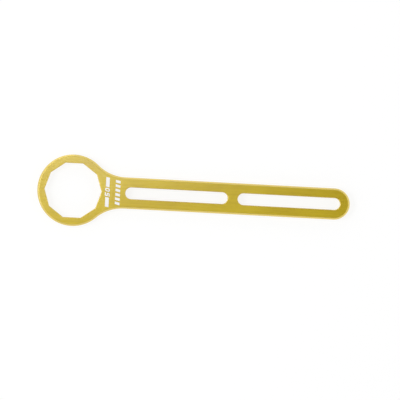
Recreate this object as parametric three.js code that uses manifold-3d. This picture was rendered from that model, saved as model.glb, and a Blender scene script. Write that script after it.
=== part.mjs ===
// Fork cap wrench: a flat ring wrench for the large caps on the top of a motorcycle's fork legs.
// Ring, neck and handle are one piece of gold anodised aluminium plate with chamfered edges. The ring's
// opening has ten flats, two long slots lighten the handle, and a size mark is engraved in the neck and
// filled flush with white paint.
// Millimetres, +Z up. The plate lies flat on z = 0 with its ring at -X and its handle along +X, and the
// origin is under the middle of its length.
import * as THREE from "three";
import { mergeVertices } from "three/addons/utils/BufferGeometryUtils.js";
import Module from "manifold-3d";

// Plate
const PLATE_THICKNESS = 8;
const OUTER_CHAMFER = 1.5;
const HOLE_CHAMFER = 0.5;

// Ring and its opening, which has a corner on the handle's axis
const CAP_ACROSS_FLATS = 50;
const CAP_CLEARANCE = 0.3;
const CAP_FLATS = 10;
const RING_WALL = 8;

// Neck and handle
const NECK_FILLET_RADIUS = 38;
const SLOT_WIDTH = 10.8;
const SLOT_LENGTH = 94.9;
const RAIL_WIDTH = 9.1;
const BRIDGE_LENGTH = 9.5;

// Size mark: two rows that run across the neck and read from -Y to +Y
const MARK_DEPTH = 0.25;
const MARK_CLEARANCE = 0.08;
const MARK_HEIGHT = 4.4;
const MARK_TO_OPENING = 3.3;
const MARK_ROW_GAP = 5.2;
const MARK_TO_SLOT = 4.9;
const MARK_EDGE_MARGIN = 1.5;
const MARK_SLANT_ANGLE = THREE.MathUtils.degToRad(12);
const BAR_THICKNESS = 3.4;
const DIGIT_WIDTH = 3.2;
const DIGIT_STROKE = 0.95;
const DIGIT_GAP = 1.1;
const DIGIT_INNER_RADIUS = 0.5;
const TICK_COUNT = 6;
const TICK_WIDTH = 2.4;

// Fineness of the round stretches, and how far a cutter runs past what it cuts
const PLATE_ARC_STEPS = 24;
const MARK_ARC_STEPS = 4;
const CUT_OVERRUN = 1;

// Finishes
const GOLD_ANODISED = { color: 0xc9ab3c, roughness: 0.38, metalness: 0.9 };
const WHITE_PAINT = { color: 0xf4f2ec, roughness: 0.6, metalness: 0 };

// Places along the handle's axis, counted from the centre of the ring
const openingInradius = (CAP_ACROSS_FLATS + CAP_CLEARANCE) / 2;
const openingCircumradius = openingInradius / Math.cos(Math.PI / CAP_FLATS);
const ringRadius = openingInradius + RING_WALL;
const handleHalfWidth = SLOT_WIDTH / 2 + RAIL_WIDTH;
const sizeRowBase = openingCircumradius + MARK_TO_OPENING + MARK_HEIGHT;
const tickRowBase = sizeRowBase + MARK_ROW_GAP + MARK_HEIGHT;
const firstSlotStart = tickRowBase + MARK_TO_SLOT;
const secondSlotStart = firstSlotStart + SLOT_LENGTH + BRIDGE_LENGTH;
const handleEnd = secondSlotStart + SLOT_LENGTH + RAIL_WIDTH;
const handleEndCentre = handleEnd - handleHalfWidth;
const overallLength = ringRadius + handleEnd;

// Each neck fillet touches the ring from outside and the handle's straight edge.
const filletCentreY = handleHalfWidth + NECK_FILLET_RADIUS;
const filletCentreX = Math.sqrt((ringRadius + NECK_FILLET_RADIUS) ** 2 - filletCentreY ** 2);
const filletAngle = Math.atan2(filletCentreY, filletCentreX);

const wasm = await Module();
wasm.setup();

// A closed geometry as a solid that can be joined and cut.
function solidOf(geometry) {
  const bare = geometry.clone();
  bare.deleteAttribute("normal");
  bare.deleteAttribute("uv");
  const merged = mergeVertices(bare);
  const triVerts = new Uint32Array(merged.index.array);
  const vertProperties = merged.attributes.position.array;
  return new wasm.Manifold(new wasm.Mesh({ numProp: 3, vertProperties, triVerts }));
}

function geometryOf(solid) {
  const { vertProperties, triVerts } = solid.getMesh();
  const geometry = new THREE.BufferGeometry();
  geometry.setAttribute("position", new THREE.BufferAttribute(vertProperties, 3));
  geometry.setIndex(new THREE.BufferAttribute(triVerts, 1));
  geometry.computeVertexNormals();
  return geometry;
}

function plateOutline() {
  const outline = new THREE.Shape();
  outline.absarc(0, 0, ringRadius, filletAngle, 2 * Math.PI - filletAngle, false);
  outline.absarc(filletCentreX, -filletCentreY, NECK_FILLET_RADIUS, Math.PI - filletAngle, Math.PI / 2, true);
  outline.absarc(handleEndCentre, 0, handleHalfWidth, -Math.PI / 2, Math.PI / 2, false);
  outline.absarc(filletCentreX, filletCentreY, NECK_FILLET_RADIUS, -Math.PI / 2, filletAngle - Math.PI, true);
  return outline;
}

function openingOutline() {
  const corners = [];
  for (let corner = 0; corner < CAP_FLATS; corner++) {
    const angle = (2 * Math.PI * corner) / CAP_FLATS;
    corners.push(new THREE.Vector2(Math.cos(angle), Math.sin(angle)).multiplyScalar(openingCircumradius));
  }
  return new THREE.Shape(corners);
}

function slotOutline(start) {
  const radius = SLOT_WIDTH / 2;
  const outline = new THREE.Shape();
  outline.absarc(start + radius, 0, radius, Math.PI / 2, (3 * Math.PI) / 2, false);
  outline.absarc(start + SLOT_LENGTH - radius, 0, radius, -Math.PI / 2, Math.PI / 2, false);
  return outline;
}

// The blank of the plate, full size between its chamfers.
function plateBlank() {
  const blank = new THREE.ExtrudeGeometry(plateOutline(), {
    depth: PLATE_THICKNESS - 2 * OUTER_CHAMFER,
    bevelThickness: OUTER_CHAMFER,
    bevelSize: OUTER_CHAMFER,
    bevelOffset: -OUTER_CHAMFER,
    bevelSegments: 1,
    curveSegments: PLATE_ARC_STEPS,
  });
  return solidOf(blank.translate(0, 0, OUTER_CHAMFER));
}

// What a hole takes out of the plate: a straight cut, and a flare that chamfers its edge at each face.
function holeCutter(outline) {
  const cut = new THREE.ExtrudeGeometry(outline, {
    depth: PLATE_THICKNESS + 2 * CUT_OVERRUN,
    bevelEnabled: false,
    curveSegments: PLATE_ARC_STEPS,
  });
  const flare = new THREE.ExtrudeGeometry(outline, {
    depth: CUT_OVERRUN,
    bevelThickness: HOLE_CHAMFER,
    bevelSize: HOLE_CHAMFER,
    bevelSegments: 1,
    curveSegments: PLATE_ARC_STEPS,
  });
  const lowerFlare = solidOf(flare.clone().translate(0, 0, -CUT_OVERRUN));
  const upperFlare = solidOf(flare.clone().translate(0, 0, PLATE_THICKNESS));
  return solidOf(cut.translate(0, 0, -CUT_OVERRUN)).add(lowerFlare).add(upperFlare);
}

// Half the plate's width at a distance from the ring's centre, on the neck or the handle.
function plateHalfWidth(distance) {
  if (distance >= filletCentreX) return handleHalfWidth;
  const filletStart = ringRadius * Math.cos(filletAngle);
  if (distance < filletStart) return Math.sqrt(ringRadius ** 2 - distance ** 2);
  return filletCentreY - Math.sqrt(NECK_FILLET_RADIUS ** 2 - (filletCentreX - distance) ** 2);
}

// Half the length that a row of the mark has between the plate's chamfers. The slant moves its ends out.
const markSlant = Math.tan(MARK_SLANT_ANGLE);
function rowHalfLength(rowBase) {
  return plateHalfWidth(rowBase) - OUTER_CHAMFER - MARK_EDGE_MARGIN - (markSlant * MARK_HEIGHT) / 2;
}

// Outlines of the mark's pieces, upright, with x along the row and y up from its base. Each can be grown
// all round, which gives the engraving that it fills.
function barOutline(width, height, grow) {
  const outline = new THREE.Shape();
  outline.moveTo(-grow, -grow);
  outline.lineTo(width + grow, -grow);
  outline.lineTo(width + grow, height + grow);
  outline.lineTo(-grow, height + grow);
  return outline;
}

// A digit's corners are rounded inside by a radius that its own openings limit, and outside to match.
const digitOpeningHeight = (MARK_HEIGHT - 3 * DIGIT_STROKE) / 2;
const digitOpeningWidth = DIGIT_WIDTH - 2 * DIGIT_STROKE;
const digitInnerRadius = Math.min(DIGIT_INNER_RADIUS, digitOpeningHeight / 2, digitOpeningWidth / 2);
const digitOuterRadius = digitInnerRadius + DIGIT_STROKE;

// A rectangle of the digit's size whose corners have one centre, whatever its margin.
function roundedDigitBox(outline, radius) {
  const right = DIGIT_WIDTH - digitOuterRadius;
  const top = MARK_HEIGHT - digitOuterRadius;
  outline.absarc(right, digitOuterRadius, radius, -Math.PI / 2, 0, false);
  outline.absarc(right, top, radius, 0, Math.PI / 2, false);
  outline.absarc(digitOuterRadius, top, radius, Math.PI / 2, Math.PI, false);
  outline.absarc(digitOuterRadius, digitOuterRadius, radius, Math.PI, (3 * Math.PI) / 2, false);
  return outline;
}

function zeroOutline(grow) {
  const outline = roundedDigitBox(new THREE.Shape(), digitOuterRadius + grow);
  outline.holes.push(roundedDigitBox(new THREE.Path(), digitInnerRadius - grow));
  return outline;
}

// The five's lower half is a bowl that is open on the left.
function fiveOutline(grow) {
  const bowlTop = 2 * DIGIT_STROKE + digitOpeningHeight;
  const bowlX = DIGIT_WIDTH - digitOuterRadius;
  const upperY = bowlTop - digitOuterRadius;
  const lowerY = digitOuterRadius;
  const inside = digitInnerRadius - grow;
  const outside = digitOuterRadius + grow;
  const stroke = DIGIT_STROKE + grow;
  const outline = new THREE.Shape();
  outline.moveTo(DIGIT_WIDTH + grow, MARK_HEIGHT + grow);
  outline.lineTo(-grow, MARK_HEIGHT + grow);
  outline.lineTo(-grow, bowlTop - stroke);
  outline.absarc(bowlX, upperY, inside, Math.PI / 2, 0, true);
  outline.absarc(bowlX, lowerY, inside, 0, -Math.PI / 2, true);
  outline.lineTo(-grow, stroke);
  outline.lineTo(-grow, -grow);
  outline.absarc(bowlX, lowerY, outside, -Math.PI / 2, 0, false);
  outline.absarc(bowlX, upperY, outside, 0, Math.PI / 2, false);
  outline.lineTo(stroke, bowlTop + grow);
  outline.lineTo(stroke, MARK_HEIGHT - stroke);
  outline.lineTo(DIGIT_WIDTH + grow, MARK_HEIGHT - stroke);
  return outline;
}

// The mark's pieces: the cap's size between two bars, and a row of ticks.
function markPieces() {
  const sizeRowHalf = rowHalfLength(sizeRowBase);
  const digitsHalf = DIGIT_WIDTH + DIGIT_GAP / 2;
  const barLength = sizeRowHalf - digitsHalf - DIGIT_GAP;
  const barBase = (MARK_HEIGHT - BAR_THICKNESS) / 2;
  const bar = (grow) => barOutline(barLength, BAR_THICKNESS, grow);
  const rightBarStart = digitsHalf + DIGIT_GAP;
  const pieces = [
    { name: "mark_bar_left", outline: bar, rowBase: sizeRowBase, along: -sizeRowHalf, up: barBase },
    { name: "mark_digit_five", outline: fiveOutline, rowBase: sizeRowBase, along: -digitsHalf, up: 0 },
    { name: "mark_digit_zero", outline: zeroOutline, rowBase: sizeRowBase, along: DIGIT_GAP / 2, up: 0 },
    { name: "mark_bar_right", outline: bar, rowBase: sizeRowBase, along: rightBarStart, up: barBase },
  ];
  const tick = (grow) => barOutline(TICK_WIDTH, MARK_HEIGHT, grow);
  const tickRowHalf = rowHalfLength(tickRowBase);
  const tickPitch = (2 * tickRowHalf - TICK_WIDTH) / (TICK_COUNT - 1);
  for (let count = 0; count < TICK_COUNT; count++) {
    const along = count * tickPitch - tickRowHalf;
    pieces.push({ name: `mark_tick_${count + 1}`, outline: tick, rowBase: tickRowBase, along, up: 0 });
  }
  return pieces;
}

// One piece of the mark, slanted about the middle of its row, with its base on z = 0.
function markGeometry(piece, grow, depth) {
  const geometry = new THREE.ExtrudeGeometry(piece.outline(grow), {
    depth,
    bevelEnabled: false,
    curveSegments: MARK_ARC_STEPS,
  });
  geometry.translate(piece.along, piece.up - MARK_HEIGHT / 2, 0);
  const slant = new THREE.Matrix4().makeShear(0, 0, markSlant, 0, 0, 0);
  return geometry.applyMatrix4(slant).translate(0, MARK_HEIGHT / 2, 0);
}

// Puts a piece of the mark in its row: along +Y, its top towards the ring, on the engraving's floor.
function placeMark(object, piece) {
  object.position.set(piece.rowBase, 0, PLATE_THICKNESS - MARK_DEPTH);
  object.rotation.z = Math.PI / 2;
  object.updateMatrix();
  return object;
}

function engravingCutter(piece) {
  const cutter = markGeometry(piece, MARK_CLEARANCE, MARK_DEPTH + CUT_OVERRUN);
  return solidOf(cutter.applyMatrix4(placeMark(new THREE.Object3D(), piece).matrix));
}

function wrenchPlate() {
  let plate = plateBlank();
  plate = plate.subtract(holeCutter(openingOutline()));
  plate = plate.subtract(holeCutter(slotOutline(firstSlotStart)));
  plate = plate.subtract(holeCutter(slotOutline(secondSlotStart)));
  for (const piece of markPieces()) plate = plate.subtract(engravingCutter(piece));
  const mesh = new THREE.Mesh(geometryOf(plate), new THREE.MeshStandardMaterial(GOLD_ANODISED));
  mesh.name = "wrench_plate";
  return mesh;
}

function markFill(piece) {
  const geometry = markGeometry(piece, 0, MARK_DEPTH);
  const mesh = new THREE.Mesh(geometry, new THREE.MeshStandardMaterial(WHITE_PAINT));
  mesh.name = piece.name;
  return placeMark(mesh, piece);
}

// The pieces are placed from the ring's centre, which lies this far from the middle of the length.
const fromRingCentre = new THREE.Group();
fromRingCentre.position.x = ringRadius - overallLength / 2;
fromRingCentre.add(wrenchPlate());
for (const piece of markPieces()) fromRingCentre.add(markFill(piece));

const wrench = new THREE.Group();
wrench.name = "fork_cap_wrench";
wrench.add(fromRingCentre);
export default wrench;
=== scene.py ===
"""Fork cap wrench: a flat ring wrench of gold anodised aluminium, lying on a white table."""
import math

import bmesh
import bpy
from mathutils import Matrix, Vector


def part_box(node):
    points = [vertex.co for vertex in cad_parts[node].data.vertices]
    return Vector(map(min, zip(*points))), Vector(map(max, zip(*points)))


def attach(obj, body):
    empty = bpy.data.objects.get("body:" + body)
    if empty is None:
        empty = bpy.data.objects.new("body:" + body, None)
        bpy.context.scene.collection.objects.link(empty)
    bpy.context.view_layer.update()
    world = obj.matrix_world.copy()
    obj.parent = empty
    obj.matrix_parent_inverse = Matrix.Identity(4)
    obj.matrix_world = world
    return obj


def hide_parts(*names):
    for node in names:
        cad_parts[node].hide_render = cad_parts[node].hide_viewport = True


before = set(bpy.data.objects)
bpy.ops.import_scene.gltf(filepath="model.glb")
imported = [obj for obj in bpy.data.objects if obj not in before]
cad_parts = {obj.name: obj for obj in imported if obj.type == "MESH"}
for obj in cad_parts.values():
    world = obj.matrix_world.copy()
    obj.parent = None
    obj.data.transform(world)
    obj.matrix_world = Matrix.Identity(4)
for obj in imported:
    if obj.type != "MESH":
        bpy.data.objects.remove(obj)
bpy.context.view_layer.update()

# Wrench plate
# The whole tool is one flat piece of aluminium plate: a ring that goes round the fork cap, a neck and a
# slotted handle. It is milled to its outline, chamfered on both faces, blasted to a satin finish and
# dyed gold in the anodising bath.
MM = 0.001

plate_low, plate_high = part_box("wrench_plate")
plate_thickness = plate_high.z - plate_low.z
opening_flats = 10
opening_across_flats = 50.3 * MM
ring_wall = 8 * MM
neck_fillet_radius = 38 * MM
slot_width = 10.8 * MM
slot_length = 94.9 * MM
rail_width = 9.1 * MM
bridge_length = 9.5 * MM
outer_chamfer = 1.5 * MM
hole_chamfer = 0.5 * MM
edge_break = 0.15 * MM
edge_break_segments = 2
rim_band = 2.2 * MM
arc_step = math.radians(2.5)
weld_distance = 0.001 * MM
# An edge counts as square or as sharp where the faces beside it turn by more than these angles.
square_turn = math.radians(60)
sharp_turn = math.radians(25)

opening_corner_radius = opening_across_flats / 2 / math.cos(math.pi / opening_flats)
ring_radius = opening_across_flats / 2 + ring_wall
ring_x = plate_low.x + ring_radius
handle_half_width = slot_width / 2 + rail_width
handle_end_x = plate_high.x - handle_half_width
slot_end_radius = slot_width / 2
slot_straight = slot_length - slot_width
slot_pitch = slot_length + bridge_length

# The neck's two fillets touch the ring and the handle's straight edges.
fillet_y = handle_half_width + neck_fillet_radius
fillet_reach = math.sqrt((ring_radius + neck_fillet_radius) ** 2 - fillet_y**2)
fillet_x = ring_x + fillet_reach
fillet_turn = math.atan2(fillet_reach, fillet_y)


def start_point(x, y):
    """Puts the first point of an outline on the table's plane: a tiny triangle, merged to its centre."""
    bpy.ops.mesh.select_all(action="DESELECT")
    bpy.ops.mesh.primitive_circle_add(vertices=3, radius=edge_break, location=(x, y, plate_low.z))
    bpy.ops.mesh.merge(type="CENTER")


def sweep_arc(x, y, angle):
    """Carries the selected point round a centre, anticlockwise from above, leaving an arc behind it."""
    steps = 2 * math.ceil(abs(angle) / arc_step / 2)
    bpy.ops.mesh.spin(steps=steps, angle=angle, center=(x, y, plate_low.z), axis=(0, 0, -1))


def draw_straight(length):
    """Carries the selected point along X, leaving a straight edge behind it."""
    bpy.ops.mesh.extrude_region_move(TRANSFORM_OT_translate={"value": (length, 0, 0)})


# The cap opening is the first outline, with two opposite corners on the handle's axis.
bpy.ops.object.select_all(action="DESELECT")
bpy.ops.mesh.primitive_circle_add(
    vertices=opening_flats,
    radius=opening_corner_radius,
    location=(ring_x, 0, plate_low.z),
    rotation=(0, 0, math.pi / opening_flats),
)
plate = bpy.context.object
plate.name = plate.data.name = "anodised_plate"
bpy.ops.object.transform_apply()
bpy.ops.object.mode_set(mode="EDIT")

# The outer outline runs along the handle, round the ring and back, and ends in the handle's round end.
start_point(handle_end_x, handle_half_width)
draw_straight(fillet_x - handle_end_x)
sweep_arc(fillet_x, fillet_y, -fillet_turn)
sweep_arc(ring_x, 0, math.pi + 2 * fillet_turn)
sweep_arc(fillet_x, -fillet_y, -fillet_turn)
draw_straight(handle_end_x - fillet_x)
sweep_arc(handle_end_x, 0, math.pi)

# Two slots in line lighten the handle. The outer one's round end has the same centre as the handle's.
slot_far_ends = (handle_end_x, handle_end_x - slot_pitch)
for far_end_x in slot_far_ends:
    start_point(far_end_x, -slot_end_radius)
    sweep_arc(far_end_x, 0, math.pi)
    draw_straight(-slot_straight)
    sweep_arc(far_end_x - slot_straight, 0, math.pi)
    draw_straight(slot_straight)

# The outlines are filled, get an even band along every rim for the chamfers, and are drawn up to the
# plate's thickness.
bpy.ops.mesh.select_all(action="SELECT")
bpy.ops.mesh.remove_doubles(threshold=weld_distance)
bpy.ops.mesh.fill(use_beauty=True)
bpy.ops.mesh.select_all(action="SELECT")
bpy.ops.mesh.inset(thickness=rim_band, use_boundary=True, use_even_offset=True)
bpy.ops.mesh.select_all(action="SELECT")
bpy.ops.mesh.extrude_region_move(TRANSFORM_OT_translate={"value": (0, 0, plate_thickness)})
bpy.ops.mesh.select_all(action="SELECT")
bpy.ops.mesh.normals_make_consistent(inside=False)


def on_hole_rim(place):
    """Whether a place on the plate's rims is on the cap opening or a slot, not on the outer edge."""
    from_ring = math.hypot(place.x - ring_x, place.y)
    in_opening = from_ring < (opening_corner_radius + ring_radius) / 2
    from_slots = math.hypot(max(0, place.x - handle_end_x), place.y)
    past_ring = place.x > ring_x + ring_radius
    return in_opening or (past_ring and from_slots < slot_end_radius + rail_width / 2)


def select_square_rims(on_holes):
    """Selects the square edges round the two faces: those of the holes, or that of the outer outline."""
    bpy.ops.mesh.select_mode(type="EDGE")
    bpy.ops.mesh.select_all(action="DESELECT")
    shape = bmesh.from_edit_mesh(plate.data)
    shape.normal_update()
    for edge in shape.edges:
        first, second = (vertex.co for vertex in edge.verts)
        level = abs(first.z - second.z) < weld_distance
        square = edge.calc_face_angle() > square_turn
        if level and square and on_hole_rim((first + second) / 2) == on_holes:
            edge.select_set(True)
    bmesh.update_edit_mesh(plate.data)


for on_holes, chamfer in ((False, outer_chamfer), (True, hole_chamfer)):
    select_square_rims(on_holes)
    bpy.ops.mesh.bevel(offset=chamfer, segments=1, affect="EDGES", clamp_overlap=False)

# Blasting breaks every sharp edge.
bpy.ops.mesh.select_all(action="DESELECT")
bpy.ops.mesh.edges_select_sharp(sharpness=sharp_turn)
bpy.ops.mesh.bevel(
    offset=edge_break, segments=edge_break_segments, affect="EDGES", clamp_overlap=False
)
bpy.ops.object.mode_set(mode="OBJECT")

# The chamfers and the broken edges, which are still selected, get a paler gold: partly thinner dye, partly
# a painted pale sheen on the rims. Only the two wide faces show rolling marks. Both kinds of face are noted
# for the finish. A face is level where its normal rises by more than level_share, and upright where it
# rises by less than the rest of 1.
level_share = 0.99
for kind in ("thin_dye_and_sheen", "rolled_face"):
    plate.data.attributes.new(kind, "FLOAT", "FACE")
thin_dye_and_sheen = plate.data.attributes["thin_dye_and_sheen"].data
rolled_face = plate.data.attributes["rolled_face"].data
for face in plate.data.polygons:
    level = abs(face.normal.z) > level_share
    upright = abs(face.normal.z) < 1 - level_share
    slanted = not level and not upright
    thin_dye_and_sheen[face.index].value = float(face.select or slanted)
    rolled_face[face.index].value = float(level)

# The broken edges have crisp borders, so that they don't blur the shading of the wide faces.
bpy.ops.object.mode_set(mode="EDIT")
bpy.ops.mesh.region_to_loop()
bpy.ops.mesh.mark_sharp()
bpy.ops.object.mode_set(mode="OBJECT")

# The size mark is engraved as shallow pockets, a little larger all round than the paint in them. They are
# cut with a joined copy of the paint pieces, without the shading that the copy brings along.
tick_count = 6
mark_names = ["mark_bar_left", "mark_digit_five", "mark_digit_zero", "mark_bar_right"]
mark_names += [f"mark_tick_{number}" for number in range(1, tick_count + 1)]
paint_clearance = 0.08 * MM

bpy.ops.object.select_all(action="DESELECT")
for name in mark_names:
    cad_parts[name].select_set(True)
bpy.context.view_layer.objects.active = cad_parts[mark_names[0]]
bpy.ops.object.duplicate(linked=False)
bpy.ops.object.join()
engraver = bpy.context.object
bpy.ops.object.mode_set(mode="EDIT")
bpy.ops.mesh.select_all(action="SELECT")
bpy.ops.mesh.remove_doubles(threshold=weld_distance)
bpy.ops.transform.shrink_fatten(value=paint_clearance, use_even_offset=True)
bpy.ops.object.mode_set(mode="OBJECT")
bpy.ops.mesh.customdata_custom_splitnormals_clear()

bpy.ops.object.select_all(action="DESELECT")
plate.select_set(True)
bpy.context.view_layer.objects.active = plate
engraving = plate.modifiers.new("engraving", "BOOLEAN")
engraving.operation = "DIFFERENCE"
engraving.solver = "EXACT"
engraving.object = engraver
bpy.ops.object.modifier_apply(modifier=engraving.name)
bpy.data.objects.remove(engraver)

# Round walls are shaded smooth across their facets, and corners stay crisp.
crisp_turn = math.radians(30)
bpy.ops.object.mode_set(mode="EDIT")
bpy.ops.mesh.select_mode(type="EDGE")
bpy.ops.mesh.select_all(action="DESELECT")
bpy.ops.mesh.edges_select_sharp(sharpness=crisp_turn)
bpy.ops.mesh.mark_sharp()
bpy.ops.object.mode_set(mode="OBJECT")
bpy.ops.object.shade_smooth()
even_shading = plate.modifiers.new("even_shading", "WEIGHTED_NORMAL")
even_shading.keep_sharp = True
bpy.ops.object.modifier_apply(modifier=even_shading.name)


def linear(hex_colour):
    """The linear RGBA colour of an sRGB colour such as #cfb212."""
    shares = [int(hex_colour[start : start + 2], 16) / 255 for start in (1, 3, 5)]
    return [s / 12.92 if s <= 0.04045 else ((s + 0.055) / 1.055) ** 2.4 for s in shares] + [1]


def new_material(name):
    """Makes a material with nothing in its node tree yet."""
    material = bpy.data.materials.new(name)
    material.use_nodes = True
    material.node_tree.nodes.clear()
    return material


def add_node(tree, kind, inputs=None, **settings):
    """Adds a node with its settings; an input is a value, or another node's output to link."""
    node = tree.nodes.new(kind)
    for name, value in settings.items():
        setattr(node, name, value)
    for name, value in (inputs or {}).items():
        if isinstance(value, bpy.types.NodeSocket):
            tree.links.new(value, node.inputs[name])
        else:
            node.inputs[name].default_value = value
    return node


# Gold anodised aluminium: a clear, hard oxide layer, dyed gold, over blasted metal. The metal gives a soft
# satin reflection in the dye's colour, and the oxide's own surface adds a thin white sheen to it.
dye_shades = ("#cfb212", "#e2c71c")
# The paler gold of the chamfers and broken edges is partly thinner dye and partly a painted pale sheen on
# the rims.
thin_dye_and_sheen_shade = "#dfc760"
roughness_range = (0.42, 0.5)
oxide_ior = 1.6
oxide_roughness = 0.18
# Rolling marks run along the two wide faces. Real ones are about 0.1 mm wide, too fine for the picture, so
# they are drawn wider.
rolling_mark = (70 * MM, 1.6 * MM, 1.6 * MM)
rolling_detail = 4
# Dye takes a little unevenly over some centimetres.
dye_cloud = 35 * MM
dye_cloud_detail = 2
# Blasting leaves pits of about 0.1 mm, drawn four times as wide so that they show.
blasting_pit = 0.4 * MM
blasting_pit_detail = 2
blasting_depth = 0.01 * MM
# A noise lies round its middle. One noise sets the roughness and the sum of two sets the shade of dye, each
# over the stretch of values given here.
noise_middle = 0.5
roughness_noise = (0.3, 0.7)
dye_noise = (0.7, 1.3)

gold = new_material("satin_gold_anodised_aluminium")
tree = gold.node_tree
place = add_node(tree, "ShaderNodeTexCoord").outputs["Object"]
along_plate = add_node(
    tree, "ShaderNodeMapping", {"Vector": place, "Scale": [1 / size for size in rolling_mark]}
)
rolling = add_node(
    tree,
    "ShaderNodeTexNoise",
    {"Vector": along_plate.outputs[0], "Scale": 1, "Detail": rolling_detail},
)
on_rolled_face = add_node(tree, "ShaderNodeAttribute", attribute_name="rolled_face")
streaks = add_node(
    tree,
    "ShaderNodeMapRange",
    {
        "Value": on_rolled_face.outputs["Fac"],
        "To Min": noise_middle,
        "To Max": rolling.outputs["Fac"],
    },
)
clouds = add_node(
    tree,
    "ShaderNodeTexNoise",
    {"Vector": place, "Scale": 1 / dye_cloud, "Detail": dye_cloud_detail},
)
unevenness = add_node(
    tree,
    "ShaderNodeMath",
    {0: streaks.outputs[0], 1: clouds.outputs["Fac"]},
    operation="ADD",
)
dye_depth = add_node(
    tree,
    "ShaderNodeMapRange",
    {"Value": unevenness.outputs[0], "From Min": dye_noise[0], "From Max": dye_noise[1]},
)
dye = add_node(
    tree,
    "ShaderNodeMixRGB",
    {0: dye_depth.outputs[0], 1: linear(dye_shades[0]), 2: linear(dye_shades[1])},
)
# Paler gold on the chamfers and broken edges: thinner dye together with a painted pale sheen.
on_thin_dye_and_sheen = add_node(tree, "ShaderNodeAttribute", attribute_name="thin_dye_and_sheen")
colour = add_node(
    tree,
    "ShaderNodeMixRGB",
    {0: on_thin_dye_and_sheen.outputs["Fac"], 1: dye.outputs[0], 2: linear(thin_dye_and_sheen_shade)},
)
roughness = add_node(
    tree,
    "ShaderNodeMapRange",
    {
        "Value": streaks.outputs[0],
        "From Min": roughness_noise[0],
        "From Max": roughness_noise[1],
        "To Min": roughness_range[0],
        "To Max": roughness_range[1],
    },
)
pits = add_node(
    tree,
    "ShaderNodeTexNoise",
    {"Vector": place, "Scale": 1 / blasting_pit, "Detail": blasting_pit_detail},
)
bump = add_node(
    tree,
    "ShaderNodeBump",
    {"Height": pits.outputs["Fac"], "Distance": blasting_depth, "Strength": 1},
)
satin = add_node(
    tree,
    "ShaderNodeBsdfPrincipled",
    {
        "Base Color": colour.outputs[0],
        "Metallic": 1,
        "Roughness": roughness.outputs[0],
        "Coat Weight": 1,
        "Coat Roughness": oxide_roughness,
        "Coat IOR": oxide_ior,
        "Normal": bump.outputs[0],
    },
)
add_node(tree, "ShaderNodeOutputMaterial", {"Surface": satin.outputs[0]})

plate.data.materials.clear()
plate.data.materials.append(gold)
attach(plate, "root")
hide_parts("wrench_plate")

# Size mark
# White paint, wiped into the engraved pockets and cured: the size in millimetres between two bars, and
# a row of slanted ticks. It lies flush with the plate's face, and is matte and a little uneven.
paint_shades = ("#f7f6f1", "#fefdfb")
paint_roughness = (0.5, 0.65)
paint_mottle = 0.5 * MM
paint_mottle_detail = 3
paint_texture_depth = 0.008 * MM

paint = new_material("matte_white_engraving_paint")
tree = paint.node_tree
place = add_node(tree, "ShaderNodeTexCoord").outputs["Object"]
mottle = add_node(
    tree,
    "ShaderNodeTexNoise",
    {"Vector": place, "Scale": 1 / paint_mottle, "Detail": paint_mottle_detail},
)
colour = add_node(
    tree,
    "ShaderNodeMixRGB",
    {0: mottle.outputs["Fac"], 1: linear(paint_shades[0]), 2: linear(paint_shades[1])},
)
roughness = add_node(
    tree,
    "ShaderNodeMapRange",
    {
        "Value": mottle.outputs["Fac"],
        "To Min": paint_roughness[0],
        "To Max": paint_roughness[1],
    },
)
bump = add_node(
    tree,
    "ShaderNodeBump",
    {"Height": mottle.outputs["Fac"], "Distance": paint_texture_depth, "Strength": 1},
)
matte = add_node(
    tree,
    "ShaderNodeBsdfPrincipled",
    {
        "Base Color": colour.outputs[0],
        "Roughness": roughness.outputs[0],
        "Normal": bump.outputs[0],
    },
)
add_node(tree, "ShaderNodeOutputMaterial", {"Surface": matte.outputs[0]})

for name in mark_names:
    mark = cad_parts[name]
    mark.data.materials.clear()
    mark.data.materials.append(paint)

# Table
# A wide sheet of white paper that the wrench lies on. Where it is seen, directly or in the metal, it glows
# by itself up to white, and a share of the lamps' light on it keeps a faint shadow at the wrench's edges.
table_width = 8
table_colour = "#f2f2f2"
table_glow = 0.845
table_shade_share = 0.2

bpy.ops.object.select_all(action="DESELECT")
bpy.ops.mesh.primitive_plane_add(size=table_width, location=(0, 0, plate_low.z))
table = bpy.context.object
table.name = "table"
bpy.ops.object.transform_apply()

paper = new_material("white_paper")
tree = paper.node_tree
ray = add_node(tree, "ShaderNodeLightPath")
seen = ray.outputs["Is Camera Ray"]
for other_kind in ("Is Glossy Ray", "Is Transmission Ray"):
    either = add_node(
        tree, "ShaderNodeMath", {0: seen, 1: ray.outputs[other_kind]}, operation="MAXIMUM"
    )
    seen = either.outputs[0]
plain = add_node(tree, "ShaderNodeBsdfDiffuse", {"Color": linear(table_colour)})
shaded = add_node(
    tree,
    "ShaderNodeBsdfDiffuse",
    {"Color": [table_shade_share * channel for channel in linear(table_colour)[:3]] + [1]},
)
glow = add_node(tree, "ShaderNodeEmission", {"Strength": table_glow})
lit = add_node(tree, "ShaderNodeAddShader", {0: shaded.outputs[0], 1: glow.outputs[0]})
surface = add_node(
    tree, "ShaderNodeMixShader", {0: seen, 1: plain.outputs[0], 2: lit.outputs[0]}
)
add_node(tree, "ShaderNodeOutputMaterial", {"Surface": surface.outputs[0]})
table.data.materials.append(paper)

# Light
# A light tent: white walls all round, bright at table height and dim overhead. Two softboxes hang above the
# ring and the handle, one stands at either end of the wrench, and a white card stands low beyond the ring.
tent_wall_level = 1.14
tent_top_level = 0.12
# The walls fade between these heights, as shares of straight up.
tent_fade = (0.45, 0.8)

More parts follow.
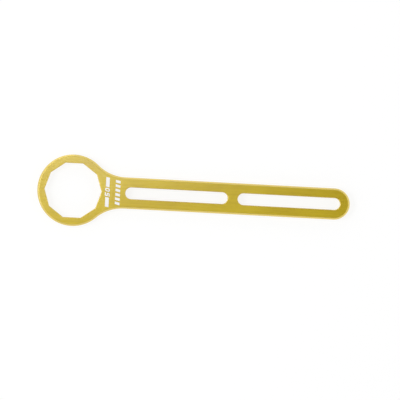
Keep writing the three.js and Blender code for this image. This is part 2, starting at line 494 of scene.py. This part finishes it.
world = bpy.data.worlds.new("light_tent")
bpy.context.scene.world = world
world.use_nodes = True
tree = world.node_tree
tree.nodes.clear()
direction = add_node(tree, "ShaderNodeTexCoord")
height = add_node(tree, "ShaderNodeSeparateXYZ", {"Vector": direction.outputs["Generated"]})
level = add_node(
    tree,
    "ShaderNodeMapRange",
    {
        "Value": height.outputs["Z"],
        "From Min": tent_fade[0],
        "From Max": tent_fade[1],
        "To Min": tent_wall_level,
        "To Max": tent_top_level,
    },
    interpolation_type="SMOOTHSTEP",
)
around = add_node(tree, "ShaderNodeBackground", {"Strength": level.outputs[0], "Color": (1, 1, 1, 1)})
add_node(tree, "ShaderNodeOutputWorld", {"Surface": around.outputs[0]})

lamp_aim = Vector((0, 0, plate_high.z))


def add_softbox(name, place, width, height, radiance):
    """Adds a rectangular lamp, turned to the wrench's middle, with an even brightness over its face."""
    bpy.ops.object.light_add(type="AREA", location=place)
    softbox = bpy.context.object
    softbox.name = name
    softbox.rotation_euler = (lamp_aim - Vector(place)).to_track_quat("-Z", "Y").to_euler()
    softbox.data.shape = "RECTANGLE"
    softbox.data.size = width
    softbox.data.size_y = height
    softbox.data.energy = radiance * math.pi * width * height
    softbox.visible_camera = False


add_softbox("softbox_over_ring", place=(-0.22, 0.05, 1.3), width=0.25, height=0.2, radiance=1.45)
add_softbox("softbox_over_handle", place=(-0.05, 0.16, 1.3), width=0.3, height=0.22, radiance=4.7)
add_softbox("softbox_ring_side", place=(-0.97, 0, 1.2), width=0.85, height=0.55, radiance=5.8)
add_softbox("softbox_handle_side", place=(1.1, 0, 1.1), width=1, height=0.6, radiance=1.1)
add_softbox("card_beyond_ring", place=(-0.32, 0.5, 0.15), width=0.4, height=0.3, radiance=0.65)

# Camera
# It looks straight down on the plate's upper face with a long lens, from so far away that the walls hardly
# show, and the handle is a few degrees off level in the picture.
picture_width_pixels = 400
pixel_size = 0.9274 * MM
sensor_width = 36
lens_length = 500
handle_slope = math.radians(3.02)
picture_centre_from_ring = (118.11 * MM, -2.84 * MM)

picture_width = picture_width_pixels * pixel_size
camera_height = picture_width * lens_length / sensor_width
bpy.ops.object.camera_add(
    location=(
        ring_x + picture_centre_from_ring[0],
        picture_centre_from_ring[1],
        plate_high.z + camera_height,
    ),
    rotation=(0, 0, handle_slope),
)
camera = bpy.context.object
camera.data.sensor_width = sensor_width
camera.data.lens = lens_length
scene = bpy.context.scene
scene.camera = camera
scene.view_settings.view_transform = "Standard"
